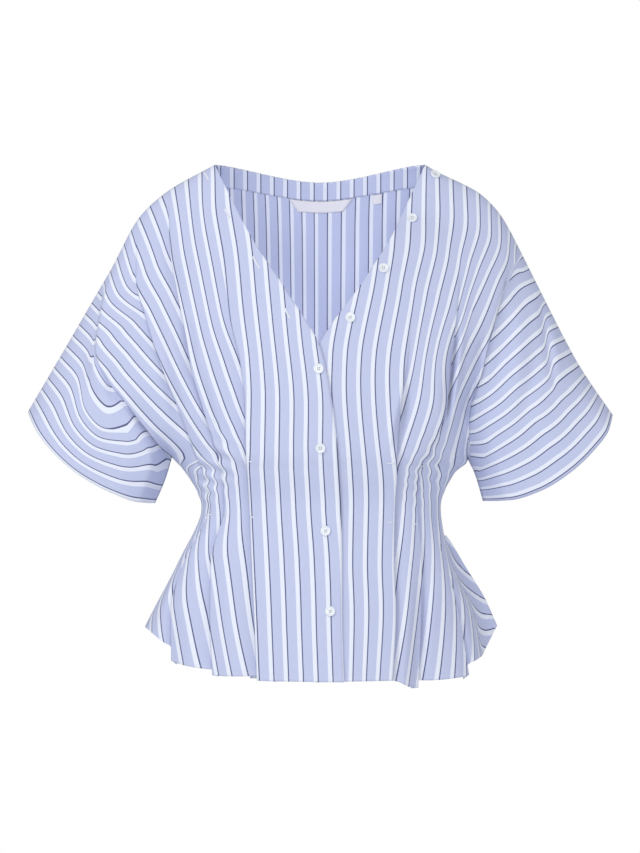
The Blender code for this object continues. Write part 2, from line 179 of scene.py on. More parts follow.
# The way round a fold in shares of its bulge, its hidden cloth and its half depth.
FOLD_WAY = (
    (0.0, 0.0, 0.0), (0.7, 0.0, 0.3), (1.0, 0.0, 1.0), (0.7, 0.0, 1.7), (0.0, 0.45, 2.0),
    (0.0, 0.92, 2.2), (0.0, 1.0, 3.0), (0.0, 0.92, 3.8), (0.0, 0.45, 4.0), (0.0, 0.0, 4.0),
)
FOLD_BULGE = 0.5                 # of a fold's half depth
HALF_STEP = 3.0                  # the hidden cloth at which a fold has half its full depth
HIDDEN_TURN = 6                  # the point of the way where the hidden cloth turns back
SHALLOW_FOLD = 3.0               # a fold that hides less than this still shows all its cloth
FINE_BODY = (26, 15, 13, 13)     # steps from line to line between the inner edge and the edge line
FINE_SLEEVE = (20, 18)
SHOULDER_CROWD = 1.25            # draws the rows together towards the shoulder
HEM_ROWS = (0.10, 0.075, 0.06, 0.03, 0.0)     # the last sections, before the hem
NEARBY = 0.01                    # a step along a section that shows which way it runs
RIDGE_PLACE = 1.7                # of a crease's width, to its side
RIDGE_HEIGHT = 0.6               # of a crease's depth
CREASE_FADE = 0.8                # below 1 holds a crease's depth nearly to its ends
GATHER_LIFT = 0.8                # of a gather's reach
GATHER_SLANT = 7.0               # how far over a gather's ridges fall back by a radian
GATHER_SWAY = (0.6, 11.0)        # the slower wander of its stripes


def soft(keys, at, level=False):
    """Goes through one key a step without overshooting; at may lie between two keys."""
    keys = np.asarray(keys, float)
    at = np.asarray(at, float)
    first = np.clip(np.floor(at).astype(int), 0, len(keys) - 2)
    part = (at - first).reshape(at.shape + (1,) * (keys.ndim - 1))
    rise = np.diff(keys, axis=0)
    slope = np.zeros_like(keys)
    both = rise[1:] * rise[:-1]
    total = rise[1:] + rise[:-1]
    slope[1:-1] = np.where(both > 0, 2 * both / np.where(total == 0, 1, total), 0)
    slope[0] = 0 if level else rise[0]
    slope[-1] = rise[-1]
    past = part * part * (3 - 2 * part)
    out = keys[first] * (1 - past) + keys[first + 1] * past
    out += slope[first] * part * (1 - part) ** 2
    return out - slope[first + 1] * part * part * (1 - part)


def sections(chest_rows, skirt_rows):
    """The rows of a net, as sections and parts of them."""
    chest = SLEEVE_END * (np.arange(chest_rows) / chest_rows) ** SHOULDER_CROWD
    skirt = np.linspace(SLEEVE_END, HEM - 2 * HEM_ROWS[0], skirt_rows)
    return np.concatenate([chest, skirt, HEM - np.array(HEM_ROWS)])


def columns(body_steps, sleeve_steps):
    """Each column as (line number, share of the way to the next line, point on the way round a fold)."""
    found = []
    last = len(FOLD_WAY) - 1
    for line, steps in enumerate(body_steps + sleeve_steps):
        turn = 2 * FOLD_TURN[line]
        if turn:
            found += [(line, turn * k / last, k) for k in range(last + 1)]
        else:
            found.append((line, 0.0, last))
        found += [(line, turn + (1 - turn) * k / steps, last) for k in range(1, steps)]
    found.append((len(LINES) - 1, 0.0, last))
    return found


def net(x, z, depth, hidden, stripes, past, at, spots, front, hem_steps=(0, 0, 0, 0)):
    """The middle of one half panel's wall, sections by columns, and the stripe number at each point."""
    x, z, hidden, before, after = (soft(table, at) for table in (x, z, hidden, stripes, past))
    squares = soft(np.asarray(depth, float) ** 2, at)
    grid, plain = [], []
    for line, share, way in spots:
        body = line < BODY_LINES
        keys = slice(0, BODY_LINES + 1) if body else slice(BODY_LINES, len(LINES))
        position = np.array(line + share - (0 if body else BODY_LINES))
        ahead = position + NEARBY
        px = soft(x[:, keys].T, position)
        pz = soft(z[:, keys].T, position, level=body and not front)
        py = np.sqrt(np.clip(soft(squares[:, keys].T, position, level=body), 0, None))
        if line in FLUTED:
            py = py + np.clip((at - WAIST) / (HEM - WAIST), 0, 1) * FLUTE * math.sin(math.pi * share)
        plain.append(np.stack([px, py, pz], axis=-1))
        if line in PANEL_FOLDS:
            under = np.clip(hidden[:, line - 1], 0, None)
            step = FOLD_STEP * under / (under + HALF_STEP)
            along = np.stack([soft(x[:, keys].T, ahead) - px, soft(z[:, keys].T, ahead) - pz])
            along /= np.maximum(np.hypot(along[0], along[1]), 1e-9)
            bulge, back, down = FOLD_WAY[way]
            shift = bulge * FOLD_BULGE * step / 2 - back * under
            px = px + shift * along[0]
            pz = pz + shift * along[1]
            turn = 2 * FOLD_TURN[line]
            left = (1 - share) / (1 - turn) if share > turn else 1.0
            py = py - down * step / 2 * left ** 2
            if way >= HIDDEN_TURN:
                hem_share = np.clip((at - HEM_STEP_START) / (HEM - HEM_STEP_START), 0, 1)
                pz = pz + hem_steps[line - 1] * left * hem_share ** 2
        grid.append(np.stack([px, -py if front else py, pz], axis=-1))
    grid = np.stack(grid, axis=1)
    return grid, stripe_numbers(grid, np.stack(plain, axis=1), before, after, hidden, spots)


def way_along(points):
    """How far each point of a net lies from the net's first column."""
    steps = np.linalg.norm(np.diff(points, axis=1), axis=2)
    return np.concatenate([np.zeros((len(points), 1)), np.cumsum(steps, axis=1)], axis=1)


def stripe_numbers(grid, plain, before, after, hidden, spots):
    """Which stripe lies at each point: even between two lines, and true to the cloth round a fold."""
    run = way_along(plain)
    number = np.zeros(run.shape)
    starts = [k for k, (line, share, way) in enumerate(spots) if share == 0]
    last = len(FOLD_WAY) - 1
    for line, (start, end) in enumerate(zip(starts, starts[1:])):
        first = after[:, line - 1] if line in PANEL_FOLDS else before[:, line]
        part = run[:, start:end + 1] - run[:, start:start + 1]
        part = part / np.maximum(part[:, -1:], 1e-6)
        number[:, start:end + 1] = first[:, None] * (1 - part) + before[:, line + 1, None] * part
        if line in PANEL_FOLDS:
            way = way_along(grid[:, start:start + last + 1])
            length = way[:, -1:]
            into = before[:, line, None]
            out = number[:, start + last, None]
            under_first = np.arange(last + 1) < HIDDEN_TURN
            split = np.where(under_first, into + way / STRIPE, out - (length - way) / STRIPE)
            even = into + (out - into) * way / np.maximum(length, 1e-6)
            share = np.clip(hidden[:, line - 1, None] / SHALLOW_FOLD, 0, 1)
            number[:, start:start + last + 1] = even * (1 - share) + split * share
    return number


def press(grid, creases):
    """Presses the creases in along the depth, each fading out at its two ends."""
    for x0, z0, x1, z1, width, depth, side in creases:
        start = np.array((x0, z0), float)
        run = np.array((x1, z1), float) - start
        length = np.linalg.norm(run)
        run /= length
        from_start = grid[..., (0, 2)] - start
        along = (from_start @ run) / length
        across = from_start @ np.array((-run[1], run[0])) * side
        fade = np.sin(math.pi * np.clip(along, 0, 1)) ** CREASE_FADE
        trough = np.exp(-(across / width) ** 2)
        ridge = np.exp(-((across - RIDGE_PLACE * width) / width) ** 2)
        inward = -np.sign(grid[..., 1])
        grid[..., 1] += inward * depth * fade * (trough - RIDGE_HEIGHT * ridge)
    return grid


def gather(grid, gathers):
    """Bunches the cloth where a waist tuck draws it in: the stripes wriggle and small ridges stand up."""
    sway, sway_wave = GATHER_SWAY
    for x, z, wide, tall, reach, wave in gathers:
        near = np.exp(-((grid[..., 0] - x) / wide) ** 2 - ((grid[..., 2] - z) / tall) ** 2)
        turn = 2 * math.pi * grid[..., 2] / wave + (grid[..., 0] - x) / GATHER_SLANT
        grid[..., 1] += reach * GATHER_LIFT * near * np.cos(turn)
        grid[..., 0] += reach * near * np.sin(turn + sway * np.sin(grid[..., 2] / sway_wave))
    return grid


def normals_of(grid):
    """The unit normal at each point of a net."""
    down = np.gradient(grid, axis=0)
    over = np.gradient(grid, axis=1)
    normals = np.cross(over, down)
    normals /= np.maximum(np.linalg.norm(normals, axis=2, keepdims=True), 1e-9)
    return normals


def cloth(name, grid, number, used, thickness, finish, front=None):
    """Closes a net into a thin wall. used marks its quads; front keeps it on its side of the seams' plane."""
    rows, count = grid.shape[:2]
    normals = normals_of(grid)
    layers = [grid + normals * thickness / 2, grid - normals * thickness / 2]
    for layer in layers:
        if front is True:
            layer[..., 1] = np.minimum(layer[..., 1], -SEAM_GAP)
        elif front is False:
            layer[..., 1] = np.maximum(layer[..., 1], SEAM_GAP)
    points = np.concatenate([layer.reshape(-1, 3) for layer in layers]) * MM
    fall = np.linalg.norm(np.diff(grid, axis=0), axis=2) / STRIPE
    fall = np.concatenate([np.zeros((1, count)), np.cumsum(fall, axis=0)])
    marks = np.stack([number, fall], axis=-1).reshape(-1, 2)
    half = rows * count
    quads = []
    rims = {}
    for row, column in zip(*np.nonzero(used)):
        start = int(row) * count + int(column)
        ring = (start, start + count, start + count + 1, start + 1)
        quads.append(ring)
        for a, b in zip(ring, ring[1:] + ring[:1]):
            if (b, a) in rims:
                del rims[(b, a)]
            else:
                rims[(a, b)] = True
    faces = quads + [tuple(half + corner for corner in reversed(ring)) for ring in quads]
    smooth = len(faces)
    faces += [(b, a, half + a, half + b) for a, b in rims]
    present = sorted({corner for face in faces for corner in face})
    place = np.full(2 * half, -1)
    place[present] = np.arange(len(present))
    mesh = bpy.data.meshes.new(name)
    corner_places = [[int(place[corner]) for corner in face] for face in faces]
    mesh.from_pydata(points[present].tolist(), [], corner_places)
    uv = mesh.uv_layers.new(name="stripes")
    corners = np.array([corner % half for face in faces for corner in face])
    uv.data.foreach_set("uv", marks[corners].astype(np.float32).ravel())
    mesh.polygons.foreach_set("use_smooth", [k < smooth for k in range(len(faces))])
    mesh.update()
    if sum(face.center.dot(face.normal) * face.area for face in mesh.polygons) < 0:
        mesh.flip_normals()
    mesh.materials.append(finish)
    return linked(name, mesh)


def linked(name, data):
    """A new object in the scene."""
    item = bpy.data.objects.new(name, data)
    bpy.context.collection.objects.link(item)
    return item


def edge_of(spots):
    """The first column on the side edge's line."""
    return next(k for k, (line, share, way) in enumerate(spots) if line == BODY_LINES)


def panel_quads(at, spots, centre=None):
    """The quads of a panel: the body's run to the hem, the sleeves' stop at the underarm."""
    edge = edge_of(spots)
    count = len(spots) if centre is None else 2 * len(spots) - 1
    used = np.ones((len(at) - 1, count - 1), bool)
    skirt = at[:-1] >= SLEEVE_END
    if centre is None:
        used[skirt, edge:] = False
    else:
        used[skirt, :centre - edge] = False
        used[skirt, centre + edge:] = False
    return used


class Value:
    """A number or colour that varies over a finish; arithmetic on it adds the nodes that work it out."""

    def __init__(self, finish, socket):
        self.finish = finish
        self.socket = socket

    def math(self, operation, *others):
        return self.finish.node("ShaderNodeMath", {"operation": operation}, (self, *others))

    def output(self, name):
        return Value(self.finish, self.socket.node.outputs[name])

    def __add__(self, other):
        return self.math("ADD", other)

    def __sub__(self, other):
        return self.math("SUBTRACT", other)

    def __rsub__(self, other):
        return self.finish.node("ShaderNodeMath", {"operation": "SUBTRACT"}, (other, self))

    def __mul__(self, other):
        return self.math("MULTIPLY", other)

    def __gt__(self, other):
        return self.math("GREATER_THAN", other)

    def __lt__(self, other):
        return self.math("LESS_THAN", other)

    __radd__ = __add__
    __rmul__ = __mul__


class Finish:
    """A material with its shader's own values set once."""

    def __init__(self, name, **fixed):
        self.material = bpy.data.materials.new(name)
        self.material.use_nodes = True
        self.tree = self.material.node_tree
        self.shader = self.tree.nodes["Principled BSDF"]
        for socket, value in fixed.items():
            self.shader.inputs[socket.replace("_", " ")].default_value = value

    def node(self, kind, settings={}, values=()):
        """Adds one node: its settings first, then its sockets by number or name."""
        made = self.tree.nodes.new(kind)
        for setting, value in settings.items():
            setattr(made, setting, value)
        pairs = values.items() if isinstance(values, dict) else enumerate(values)
        for socket, value in pairs:
            if isinstance(value, Value):
                self.tree.links.new(value.socket, made.inputs[socket])
            else:
                made.inputs[socket].default_value = value
        return Value(self, made.outputs[0])

    def mix(self, share, first, second):
        """Blends two colours."""
        mixed = self.node("ShaderNodeMix", {"data_type": "RGBA"}, {0: share, 6: first, 7: second})
        return Value(self, mixed.socket.node.outputs[2])

    def noise(self, vector, scale, detail=2.0):
        values = {"Vector": vector, "Scale": scale, "Detail": detail}
        return self.node("ShaderNodeTexNoise", {}, values)

    def feed(self, **values):
        for socket, value in values.items():
            self.tree.links.new(value.socket, self.shader.inputs[socket.replace("_", " ")])


def dye(red, green, blue):
    """A display colour from 0 to 255 as the shader's linear colour."""
    shares = np.array((red, green, blue)) / 255.0
    linear = np.where(shares <= 0.04045, shares / 12.92, ((shares + 0.055) / 1.055) ** 2.4)
    return (*linear.tolist(), 1.0)


# The stripe: a blue ground, a white band and a thin dark line on the band's edge.
WHITE_BAND = 0.28          # of the repeat
DARK_LINE = 0.08
WARP_THREADS = 46.0        # in one repeat
GROUND_BLUE = dye(194, 201, 231)
FADED_BLUE = dye(216, 221, 240)
BAND_WHITE = dye(236, 240, 250)
LINE_DARK = dye(92, 96, 134)
SLUB_FADE = 0.22           # how far the thicker threads fade the blue
GRAIN_FADE = 0.1
RAGGED = 0.02              # of the repeat, how far a band's edge strays
SLUB_LENGTH = 0.05         # squeezes the slubs' noise along the cloth
WEFT_SHARE = 0.8           # weft threads to warp threads


def poplin(name, side):
    """Striped poplin. side is 1 where the white band lies below a whole stripe number, else -1."""
    finish = Finish(name, Roughness=0.82, IOR=1.45, Sheen_Weight=0.12, Sheen_Roughness=0.4)
    marks = finish.node("ShaderNodeUVMap", {"uv_map": "stripes"})
    across = finish.node("ShaderNodeSeparateXYZ", {}, (marks,))
    along = across.output("Y")
    scaled = finish.node("ShaderNodeCombineXYZ", {}, (across, along * SLUB_LENGTH, 0.0))
    slub = finish.noise(scaled, 9.0, 3.0)
    grain = finish.noise(marks, 30.0, 3.0)
    jagged = finish.noise(marks, 160.0, 0.0)
    place = across * side + (jagged - 0.5) * RAGGED
    within = place.math("FRACT")
    band = within > 1.0 - WHITE_BAND - DARK_LINE
    line = within > 1.0 - DARK_LINE
    colour = finish.mix(slub * SLUB_FADE + grain * GRAIN_FADE, GROUND_BLUE, FADED_BLUE)
    colour = finish.mix(band, colour, BAND_WHITE)
    colour = finish.mix(line, colour, LINE_DARK)
    warp = (across * (WARP_THREADS * 2 * math.pi)).math("SINE")
    weft = (along * (WARP_THREADS * WEFT_SHARE * 2 * math.pi)).math("SINE")
    relief = {"Strength": 0.12, "Distance": 0.1 * MM, "Height": warp * weft}
    weave = finish.node("ShaderNodeBump", {}, relief)
    finish.feed(Base_Color=colour, Normal=weave)
    return finish.material


right_cloth = poplin("striped_poplin_right", -1)
fine_rows = sections(96, 84)
fine_spots = columns(FINE_BODY, FINE_SLEEVE)
fine_quads = panel_quads(fine_rows, fine_spots)
right_net, right_number = net(RIGHT_X, RIGHT_Z, FRONT_DEPTH, RIGHT_HIDDEN, RIGHT_STRIPES, RIGHT_PAST,
                              fine_rows, fine_spots, True, RIGHT_HEM_STEPS)
press(right_net, RIGHT_CREASES)
gather(right_net, RIGHT_GATHERS)
front_right = cloth("right_front", right_net, right_number, fine_quads, POPLIN, right_cloth, front=True)
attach(front_right, "root")
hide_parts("front_right")

# The left front with its sleeve, the same cut the other way round.
# It lies under the right front at the buttons and carries them, and its folds fall differently.
UNDERLAP = 2.2         # how far it lies behind the right front at the button line

LEFT_X = [
    # inner pleat tuck fold edge kink cuff
    (115.5, 128.7, 176, 199.1, 210.1, 286, 321.8),
    (93.5, 119.9, 163, 187, 202.4, 275, 316.8),
    (77, 114.4, 153, 178, 194.7, 261.8, 299.2),
    (48.4, 99, 149.5, 166, 183.7, 242, 272.8),
    (-4.4, 93.5, 142.6, 158, 173.8, 214.5, 242),
    (-13.2, 86.9, 137.5, 150, 161, 187, 209),
    (-11, 82.5, 118, 137, 162.3, 170.5, 179.3),
    (-11, 82.5, 107, 125, 147.4, 0, 0),
    (-9, 80, 106, 122, 132.5, 0, 0),
    (-9, 79, 110, 136, 143, 0, 0),
    (-7, 81, 109, 150, 168, 0, 0),
    (-5, 77.5, 105.5, 162, 178.2, 0, 0),
]
LEFT_Z = [
    # inner   pleat    tuck    fold    edge    kink    cuff
    (0, -7.7, -31.9, -56.1, -74.8, -222.2, -275),
    (-47.3, -55, -72, -86, -99, -242, -292.6),
    (-81.4, -88, -105, -120, -132, -264, -315.7),
    (-126.5, -140, -155, -167, -176, -280.5, -339.9),
    (-206.8, -212, -216, -220, -223.3, -291.5, -358.6),
    (-258.5, -260, -265, -270, -275, -302.5, -368.5),
    (-313.5, -314, -317, -320, -322.7, -340, -369.6),
    (-337.7, -337.7, -337.7, -337.7, -339.5, 0, 0),
    (-377.3, -377.3, -377.3, -377.3, -377.3, 0, 0),
    (-434.5, -434.5, -434.5, -434.5, -434.5, 0, 0),
    (-491.7, -491.7, -491.7, -489.5, -490.6, 0, 0),
    (-567.6, -566, -574, -561, -540, 0, 0),
]
LEFT_HIDDEN = [
    # pleat tuck fold edge
    (0, 0, 0, 0),
    (0, 0, 0, 5),
    (0, 0, 0, 12),
    (0, 1, 0, 16),
    (1, 9, 0, 16),
    (8, 20, 0, 8),
    (20, 16, 0, 0),
    (24, 11, 3, 0),
    (25, 7, 6, 0),
    (25, 5, 4, 0),
    (25, 8, 8, 0),
    (25, 9, 9, 0),
]
LEFT_STRIPES = [
    # inner pleat tuck fold edge kink cuff
    (5.8, 6.8, 10, 12, 13, 24, 29.2),
    (4.5, 6.2, 9.05, 11, 12.45, 24.5, 29.2),
    (3.65, 5.9, 8.85, 11.4, 12.95, 25, 29.2),
    (2.15, 5.6, 9.45, 12.05, 13.35, 25, 29.2),
    (-0.2, 6, 10.4, 13.15, 14.35, 24.4, 29.2),
    (-0.7, 5.6, 9.95, 14.1, 15.2, 23.9, 29.2),
    (-0.8, 5, 9.9, 14.35, 16.3, 26.2, 29.2),
    (-0.8, 4.8, 9.9, 13.4, 16, 0, 0),
    (-0.8, 4.6, 10.05, 13, 15, 0, 0),
    (-0.8, 4.65, 10.65, 14.2, 16.2, 0, 0),
    (-0.8, 4.7, 11.1, 15.05, 18.2, 0, 0),
    (-0.8, 4.8, 11.75, 16.1, 18.8, 0, 0),
]
LEFT_PAST = [
    # pleat tuck fold edge
    (6.8, 10, 12, 13),
    (6.2, 9.05, 11, 14.3),
    (5.9, 8.85, 11.4, 15.35),
    (5.6, 9.6, 12.05, 16.75),
    (6, 11.7, 13.15, 18.6),
    (6.5, 12.9, 14.1, 21.3),
    (7.3, 12.2, 14.35, 25),
    (7.8, 11.5, 13.4, 16),
    (7.95, 11.05, 13, 15),
    (8.45, 11.65, 14.2, 16.2),
    (9.05, 12.1, 15.3, 18.2),
    (9.65, 12.6, 16.5, 18.8),
]
LEFT_CREASES = [
    # x, z to x, z, width, depth, ridge on the left (-1) or right (1)
    (149, -180, 137, -282, 4.5, 9, 1),
    (180, -190, 153, -305, 5, 7.5, 1),
    (243, -148, 256, -245, 5, 2.8, 1),
    (165, -235, 150, -300, 6, 4, 1),
    (97, -240, 82, -314, 4, 6.5, -1),
    (112, -460, 106, -566, 7, 5, 1),
    (205, -150, 196, -250, 9, 3, 1),
    (240, -190, 222, -290, 9, 2.6, -1),
]

LEFT_HEM_STEPS = (0, 8, 12, 0)   # pleat tuck fold edge
LEFT_GATHERS = [
    # x, z, half width, half height, reach, wave
    (124, -332, 15, 30, 1.5, 19),
    (104, -352, 12, 26, 1, 15),
]
SLEEVE_KINK = (241, -140, 257, -250)     # the sleeve's crease, x, z to x, z
KINK_SHIFT = 0.42      # of a stripe, to each side of it
KINK_SHARP = 3.0       # how far from the crease the stripes have turned
KINK_REACH = 26.0      # and how far out they run true again
UNDERLAP_FADE = 1.5


def bend_at(grid, line):
    """From -1 to 1 across a crease, fading away from it, for the stripes that turn there."""
    x0, z0, x1, z1 = line
    run = np.array((x1 - x0, z1 - z0), float)
    length = np.linalg.norm(run)
    run /= length
    from_start = grid[..., (0, 2)] - np.array((x0, z0), float)
    along = np.clip((from_start @ run) / length, 0, 1)
    across = from_start @ np.array((-run[1], run[0]))
    fade = np.exp(-(across / KINK_REACH) ** 2) * np.sin(math.pi * along) ** 0.7
    return np.tanh(across / KINK_SHARP) * fade


left_cloth = poplin("striped_poplin_left", 1)
left_net, left_number = net(LEFT_X, LEFT_Z, FRONT_DEPTH, LEFT_HIDDEN, LEFT_STRIPES, LEFT_PAST,
                            fine_rows, fine_spots, True, LEFT_HEM_STEPS)
press(left_net, LEFT_CREASES)
gather(left_net, LEFT_GATHERS)
left_number += KINK_SHIFT * bend_at(left_net, SLEEVE_KINK)
inner_share = np.array([min(line + share, 1.0) for line, share, way in fine_spots])
left_net[..., 1] += UNDERLAP * (1 - inner_share) ** UNDERLAP_FADE
front_left = cloth("left_front", left_net, left_number, fine_quads, POPLIN, left_cloth, front=True)
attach(front_left, "root")
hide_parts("front_left")

# The back with the backs of both sleeves, one piece of the same poplin on the fold.
# It hangs on the fronts' seams, with its own neckline, waist tucks and side flutes.
BACK_SHAPE = [
    # centre z, neck x, neck z
    (-18.7, 115.5, 0),
    (-58, 110, -47),
    (-102, 101, -94),
    (-155, 93, -150),
    (-214, 86, -212),
    (-263, 81, -262),
    (-316, 78, -315),
    (-338, 75, -338),
    (-377.3, 70, -377.3),
    (-434.5, 70, -434.5),
    (-492, 72, -491.7),
    (-568, 75, -566),
]
BACK_DEPTH = [
    # centre neck tuck fold edge kink cuff
    (58, 0, 0, 0, 0, 0, 0),
    (74, 52, 40, 36, 34, 34, 36),
    (86, 74, 60, 52, 48, 46, 46),
    (93, 86, 74, 64, 56, 52, 50),
    (95, 90, 80, 70, 58, 52, 48),
    (93, 88, 78, 66, 46, 44, 36),
    (90, 84, 72, 54, 0, 0, 0),
    (86, 80, 66, 46, 0, 0, 0),
    (78, 70, 56, 38, 0, 0, 0),
    (86, 78, 62, 38, 0, 0, 0),
    (98, 88, 70, 40, 0, 0, 0),
    (112, 100, 78, 42, 0, 0, 0),
]
BACK_HIDDEN = [
    # neck  tuck  fold  edge
    (0, 0, 0, 0),
    (0, 0, 0, 4),
    (0, 3, 2, 8),
    (0, 4, 3, 8),
    (0, 3, 5, 6),
    (2, 3, 3, 2),
    (8, 3, 2, 0),
    (11, 6, 4, 0),
    (12, 7, 5, 0),
    (11, 5, 3, 0),
    (9, 6, 4, 0),
    (8, 7, 5, 0),
]
# Where the back's side flutes stand by the seams below the waist, with the stripe on each.
# The left one shows past the front.
FLUTES = [
    # section, right x, right z, stripe, left x, left z, stripe
    (9, -146, -434.5, 12.4, 151, -432, 12.2),
    (10, -166, -490, 14, 179, -480, 13.7),
    (11, -170, -524, 15, 193, -511, 15.5),
]
# The stripe on each line of the back's half, before and after the line's fold.
BACK_STRIPES = [
    # centre neck tuck fold edge kink cuff
    (0, 8.1, 11.4, 14, 16.5, 25.6, 30.8),
    (0, 7.8, 11.6, 14.6, 18, 25.6, 30.8),
    (0, 7.2, 11.6, 15, 18.6, 25.6, 30.8),
    (0, 6.7, 11.2, 15, 18.8, 25.6, 30.8),
    (0, 6.2, 10.8, 14.6, 19, 25.8, 30.8),
    (0, 5.8, 9.9, 13.6, 20, 27.2, 30.8),
    (0, 5.4, 9, 12.4, 21, 28.2, 30.8),
    (0, 5.2, 8.6, 11.6, 15.4, 0, 0),
    (0, 4.9, 8.6, 11.2, 14.2, 0, 0),
    (0, 4.9, 9.4, 12.2, 14.1, 0, 0),
    (0, 5, 9.4, 12.6, 15.9, 0, 0),
    (0, 5.2, 9.2, 12.6, 17.9, 0, 0),
]
BACK_PAST = [
    # neck tuck fold edge
    (8.1, 11.4, 14, 16.5),
    (7.8, 11.6, 14.6, 18.5),
    (7.2, 12, 15.2, 19.6),
    (6.7, 11.7, 15.4, 19.8),
    (6.2, 11.2, 15.2, 19.8),
    (6, 10.3, 14, 20.3),
    (6.4, 9.4, 12.6, 21.5),
    (6.6, 9.3, 12.1, 15.4),
    (6.4, 9.5, 11.8, 14.2),
    (6.3, 10, 12.6, 14.1),
    (6.1, 10.1, 13.1, 15.9),
    (6.2, 10.1, 13.2, 17.9),
]
BACK_HEM_STEPS = {-1: (4, 12, 10, 0), 1: (0, 8, 0, 0)}     # the right half's and the left half's
BACK_BODY = (26, 13, 11, 11)
BACK_SLEEVE = (18, 14)
BACK_PITCH = 14.2      # the stripe's repeat near the centre back, drawn in by the neckline
BACK_START = -7.2      # where the centre stripe lies
BACK_CREASES = [
    # x, z to x, z, width, depth, ridge on the left (-1) or right (1)
    (-150, -90, -105, -300, 9, 4, 1),
    (-185, -120, -135, -290, 9, 3.4, 1),
    (-215, -160, -160, -300, 8, 3, -1),
    (160, -80, 112, -300, 9, 4.2, -1),
    (192, -120, 140, -295, 9, 3.2, -1),
    (222, -170, 165, -305, 8, 3, 1),
    (-250, -150, -225, -300, 9, 2.8, 1),
    (255, -160, 228, -300, 9, 2.8, -1),
    (-60, -310, -52, -400, 7, 3, 1),
    (-96, -420, -104, -560, 9, 4, -1),
    (104, -410, 118, -560, 9, 4.4, 1),
    (58, -305, 50, -395, 7, 3, -1),
    (-30, -400, -38, -560, 12, 4, 1),
    (34, -400, 44, -560, 12, 4, -1),
    (-8, -330, 4, -520, 12, 2.6, 1),
]


def back_tables(x, z):
    """The back's lines and stripes on the seams of one front, with its own centre, neck and side flute."""
    x, z = np.array(x, float), np.array(z, float)
    side = np.sign(x[0, 4])
    for section, (centre_z, neck_x, neck_z) in enumerate(BACK_SHAPE):
        x[section, :2] = 0.0, side * neck_x
        z[section, :2] = centre_z, neck_z
    stripes, past = np.array(BACK_STRIPES), np.array(BACK_PAST)
    stripes[:, 0] = -side * BACK_START / BACK_PITCH
    for section, *places in FLUTES:
        hidden = past[section, 2] - stripes[section, 3]
        x[section, 3], z[section, 3], stripes[section, 3] = places[:3] if side < 0 else places[3:]
        past[section, 2] = stripes[section, 3] + hidden
    return x, z, stripes, past


def meet_shoulder(half, x, z, at):
    """Brings the back's top edge onto the front's shoulder seam, which also turns at the pleat's line."""
    place = np.linspace(0, BODY_LINES, 81)
    seam_x, seam_z = (soft(table[0][:BODY_LINES + 1], place) for table in (x, z))
    reach = abs(half[0, :, 0])
    rise = np.interp(reach, abs(seam_x), seam_z) - half[0, :, 2]
    rise[(reach < abs(seam_x[0])) | (reach > abs(seam_x[-1]))] = 0
    half[..., 2] += np.clip(1 - at, 0, 1)[:, None] ** 2 * rise
    return half


def back_halves(at, spots):
    """The whole back, from the right cuff over the centre to the left cuff, and its stripe numbers."""
    nets, numbers = [], []
    for seam_x, seam_z, side in ((RIGHT_X, RIGHT_Z, -1), (LEFT_X, LEFT_Z, 1)):
        x, z, stripes, past = back_tables(seam_x, seam_z)
        half, number = net(x, z, BACK_DEPTH, BACK_HIDDEN, stripes, past, at, spots, False,
                           BACK_HEM_STEPS[side])
        nets.append(meet_shoulder(half, seam_x, seam_z, at))
        numbers.append(number * side)
    grid = np.concatenate([nets[0][:, ::-1], nets[1][:, 1:]], axis=1)
    return grid, np.concatenate([numbers[0][:, ::-1], numbers[1][:, 1:]], axis=1)


back_cloth = poplin("striped_poplin_back", -1)
back_rows = sections(84, 74)
back_spots = columns(BACK_BODY, BACK_SLEEVE)
back_centre = len(back_spots) - 1
back_net, back_number = back_halves(back_rows, back_spots)
press(back_net, BACK_CREASES)
back_quads = panel_quads(back_rows, back_spots, back_centre)
back = cloth("back_panel", back_net, back_number, back_quads, POPLIN, back_cloth, front=False)
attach(back, "root")
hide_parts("back")

# The facing at the back neck, a shaped strip of the poplin with its right side showing, and the two labels.
# The facing is turned in at the neckline and stitched down.
# The labels are blank woven tape, the wide one with its ends folded under, and are sewn into the facing's edge.
FACING_EDGE = 0.5      # the section at its lower edge
FACING_REACH = 25      # columns to each side of the centre back
FACING_PITCH = 14.7    # the stripe's repeat along the facing
FACING_START = -5.9
FACING_LIFT = 0.5      # how far each piece lies off the back's inside, past the cloth's wall
TAPE_LIFT = 0.6
TAPE = 0.35            # the tape's wall
# The sections that each label spans and its two ends at them.
NECK_LABEL = ((0.53, 0.68, 0.84), ((-34.5, 36.2), (-29.8, 31.0), (-25.0, 25.8)))
SIZE_TAB = ((0.53, 0.65, 0.77), ((58.7, 68.2), (58.7, 68.2), (58.7, 68.2)))
LABELS = [
    # name, solid, spans, flat width and length, share of that rectangle
    ("neck_tape", "neck_label", NECK_LABEL, (0.071, 0.018), 0.85),
    ("size_tape", "size_tab", SIZE_TAB, (0.01, 0.0125), 1.0),
]


def inside_of_back(at, lift):
    """The back's own net at these sections, its middle strip lifted off the inside of the cloth."""
    grid, _ = back_halves(np.asarray(at, float), back_spots)
    centre = grid.shape[1] // 2
    grid = grid[:, centre - FACING_REACH:centre + FACING_REACH + 1]
    normals = normals_of(grid)
    return grid + normals * np.sign(-normals[..., 1:2]) * lift


def strip_between(at, spans, lift, columns_across):
    """A small strip on the back's inside: spans gives the first and last x at each of its sections."""
    sections_down = np.linspace(at[0], at[-1], 9)
    grid = inside_of_back(sections_down, lift)
    firsts, lasts = (np.interp(sections_down, at, ends) for ends in zip(*spans))
    points = np.empty((len(sections_down), columns_across, 3))
    for row, (first, last) in enumerate(zip(firsts, lasts)):
        wanted = np.linspace(first, last, columns_across)
        for axis in range(3):
            points[row, :, axis] = np.interp(wanted, grid[row, :, 0], grid[row, :, axis])
    return points


